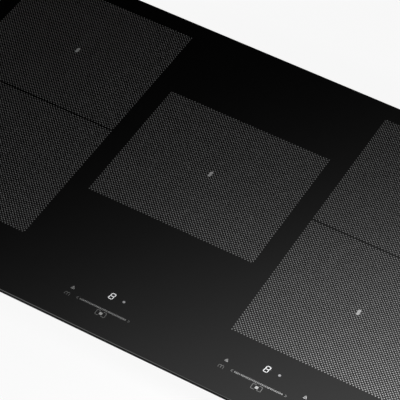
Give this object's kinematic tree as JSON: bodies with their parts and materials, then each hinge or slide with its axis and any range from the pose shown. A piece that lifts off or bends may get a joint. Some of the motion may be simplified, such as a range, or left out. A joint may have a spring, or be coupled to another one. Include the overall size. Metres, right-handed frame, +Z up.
{
  "type": "electric induction cooktop",
  "caption": "Built-in induction hob: bevelled black glass with dotted rectangular zones and touch sliders over a vented steel tray with sprung coils, blowers and swing-out worktop clamps.",
  "frame": {"origin": "centre of the glass on the worktop plane, which is the underside of the foam seal", "axes": "+X to the right of someone cooking, +Y towards the back of the worktop, +Z up out of the glass"},
  "size_m": [0.78, 0.52, 0.058],
  "materials": {
    "glass_ceramic": "polished black glass-ceramic with a printed dot pattern",
    "foam_tape": "matte closed-cell foam",
    "silicone": "matte silicone",
    "frame_steel": "zinc-plated sheet",
    "tray_steel": "galvanised sheet with a fine spangle",
    "screw_steel": "zinc-plated",
    "deck_aluminium": "mill finish",
    "mica": "pressed mica, slightly glittering",
    "spring_steel": "drawn wire",
    "circuit_board": "green solder mask",
    "heatsink_aluminium": "extruded, satin",
    "black_moulding": "glass-filled, fine grain",
    "grey_moulding": "fine grain",
    "white_moulding": "heat-resistant moulding",
    "capacitor_film": "epoxy-filled box",
    "copper_winding": "enamelled litz wire",
    "ferrite": "sintered ferrite",
    "sensor_ceramic": "fine ceramic cap",
    "contact_brass": "spring bronze",
    "clamp_brass": "turned, unpolished",
    "wire_jacket": "extruded insulation"
  },
  "bodies": {
    "housing": {"glass_plate": "glass_ceramic", "worktop_seal": "foam_tape", "adhesive_bead": "silicone", "support_frame": "frame_steel", "base_tray": "tray_steel", "frame_screws": "screw_steel", "coil_deck": "deck_aluminium", "deck_standoffs": "frame_steel", "deck_screws": "screw_steel", "mica_sheets": "mica", "coil_springs": "spring_steel", "power_board_left": "circuit_board", "power_board_right": "circuit_board", "heatsink_left": "heatsink_aluminium", "heatsink_right": "heatsink_aluminium", "power_transistors": "black_moulding", "capacitors": "capacitor_film", "filter_board": "circuit_board", "filter_chokes": "copper_winding", "blower_housing_left": "black_moulding", "blower_housing_right": "black_moulding", "control_board": "circuit_board", "control_carrier": "grey_moulding", "touch_springs": "contact_brass", "display_modules": "black_moulding", "terminal_block": "white_moulding", "cable_gland": "grey_moulding", "wiring": "wire_jacket", "clamp_screws": "screw_steel"},
    "coil_left_front": {"winding_left_front": "copper_winding", "ferrites_left_front": "ferrite", "carrier_left_front": "white_moulding", "sensor_left_front": "sensor_ceramic"},
    "coil_left_back": {"winding_left_back": "copper_winding", "ferrites_left_back": "ferrite", "carrier_left_back": "white_moulding", "sensor_left_back": "sensor_ceramic"},
    "coil_centre": {"winding_centre": "copper_winding", "ferrites_centre": "ferrite", "carrier_centre": "white_moulding", "sensor_centre": "sensor_ceramic"},
    "coil_right_front": {"winding_right_front": "copper_winding", "ferrites_right_front": "ferrite", "carrier_right_front": "white_moulding", "sensor_right_front": "sensor_ceramic"},
    "coil_right_back": {"winding_right_back": "copper_winding", "ferrites_right_back": "ferrite", "carrier_right_back": "white_moulding", "sensor_right_back": "sensor_ceramic"},
    "fan_left": {"fan_wheel_left": "grey_moulding"},
    "fan_right": {"fan_wheel_right": "grey_moulding"},
    "clamp_nut_front_left": {"clamp_nut_front_left": "clamp_brass"},
    "clamp_arm_front_left": {"clamp_arm_front_left": "frame_steel"},
    "clamp_nut_front_right": {"clamp_nut_front_right": "clamp_brass"},
    "clamp_arm_front_right": {"clamp_arm_front_right": "frame_steel"},
    "clamp_nut_back_left": {"clamp_nut_back_left": "clamp_brass"},
    "clamp_arm_back_left": {"clamp_arm_back_left": "frame_steel"},
    "clamp_nut_back_right": {"clamp_nut_back_right": "clamp_brass"},
    "clamp_arm_back_right": {"clamp_arm_back_right": "frame_steel"},
    "cover": {"terminal_cover": "grey_moulding"}
  },
  "joints": [
    {"name": "coil_left_front_press", "type": "slide", "parent": "housing", "child": "coil_left_front", "axis": [0, 0, 1], "range_m": [-0.003, 0], "stiffness_N_per_m": 4000, "springref_m": 0.004, "deforming": ["coil_springs"]},
    {"name": "coil_left_back_press", "type": "slide", "parent": "housing", "child": "coil_left_back", "axis": [0, 0, 1], "range_m": [-0.003, 0], "stiffness_N_per_m": 4000, "springref_m": 0.004, "deforming": ["coil_springs"]},
    {"name": "coil_centre_press", "type": "slide", "parent": "housing", "child": "coil_centre", "axis": [0, 0, 1], "range_m": [-0.003, 0], "stiffness_N_per_m": 4000, "springref_m": 0.004, "deforming": ["coil_springs"]},
    {"name": "coil_right_front_press", "type": "slide", "parent": "housing", "child": "coil_right_front", "axis": [0, 0, 1], "range_m": [-0.003, 0], "stiffness_N_per_m": 4000, "springref_m": 0.004, "deforming": ["coil_springs"]},
    {"name": "coil_right_back_press", "type": "slide", "parent": "housing", "child": "coil_right_back", "axis": [0, 0, 1], "range_m": [-0.003, 0], "stiffness_N_per_m": 4000, "springref_m": 0.004, "deforming": ["coil_springs"]},
    {"name": "fan_left_spin", "type": "hinge", "parent": "housing", "child": "fan_left", "pos_m": [-0.25, 0.1465, -0.0348], "axis": [0, 0, 1], "continuous": true},
    {"name": "fan_right_spin", "type": "hinge", "parent": "housing", "child": "fan_right", "pos_m": [0.25, 0.1465, -0.0348], "axis": [0, 0, 1], "continuous": true},
    {"name": "clamp_front_left_climb", "type": "slide", "parent": "housing", "child": "clamp_nut_front_left", "axis": [0, 0, 1], "range_m": [0, 0.02]},
    {"name": "clamp_front_left_swing", "type": "hinge", "parent": "clamp_nut_front_left", "child": "clamp_arm_front_left", "pos_m": [-0.246, -0.228, -0.04], "axis": [0, 0, 1], "range_deg": [0, 90]},
    {"name": "clamp_front_right_climb", "type": "slide", "parent": "housing", "child": "clamp_nut_front_right", "axis": [0, 0, 1], "range_m": [0, 0.02]},
    {"name": "clamp_front_right_swing", "type": "hinge", "parent": "clamp_nut_front_right", "child": "clamp_arm_front_right", "pos_m": [0.246, -0.228, -0.04], "axis": [0, 0, -1], "range_deg": [0, 90]},
    {"name": "clamp_back_left_climb", "type": "slide", "parent": "housing", "child": "clamp_nut_back_left", "axis": [0, 0, 1], "range_m": [0, 0.02]},
    {"name": "clamp_back_left_swing", "type": "hinge", "parent": "clamp_nut_back_left", "child": "clamp_arm_back_left", "pos_m": [-0.246, 0.228, -0.04], "axis": [0, 0, -1], "range_deg": [0, 90]},
    {"name": "clamp_back_right_climb", "type": "slide", "parent": "housing", "child": "clamp_nut_back_right", "axis": [0, 0, 1], "range_m": [0, 0.02]},
    {"name": "clamp_back_right_swing", "type": "hinge", "parent": "clamp_nut_back_right", "child": "clamp_arm_back_right", "pos_m": [0.246, 0.228, -0.04], "axis": [0, 0, 1], "range_deg": [0, 90]},
    {"name": "terminal_cover_hinge", "type": "hinge", "parent": "housing", "child": "cover", "pos_m": [0, 0.2404, -0.0198], "axis": [1, 0, 0], "range_deg": [0, 85]}
  ]
}
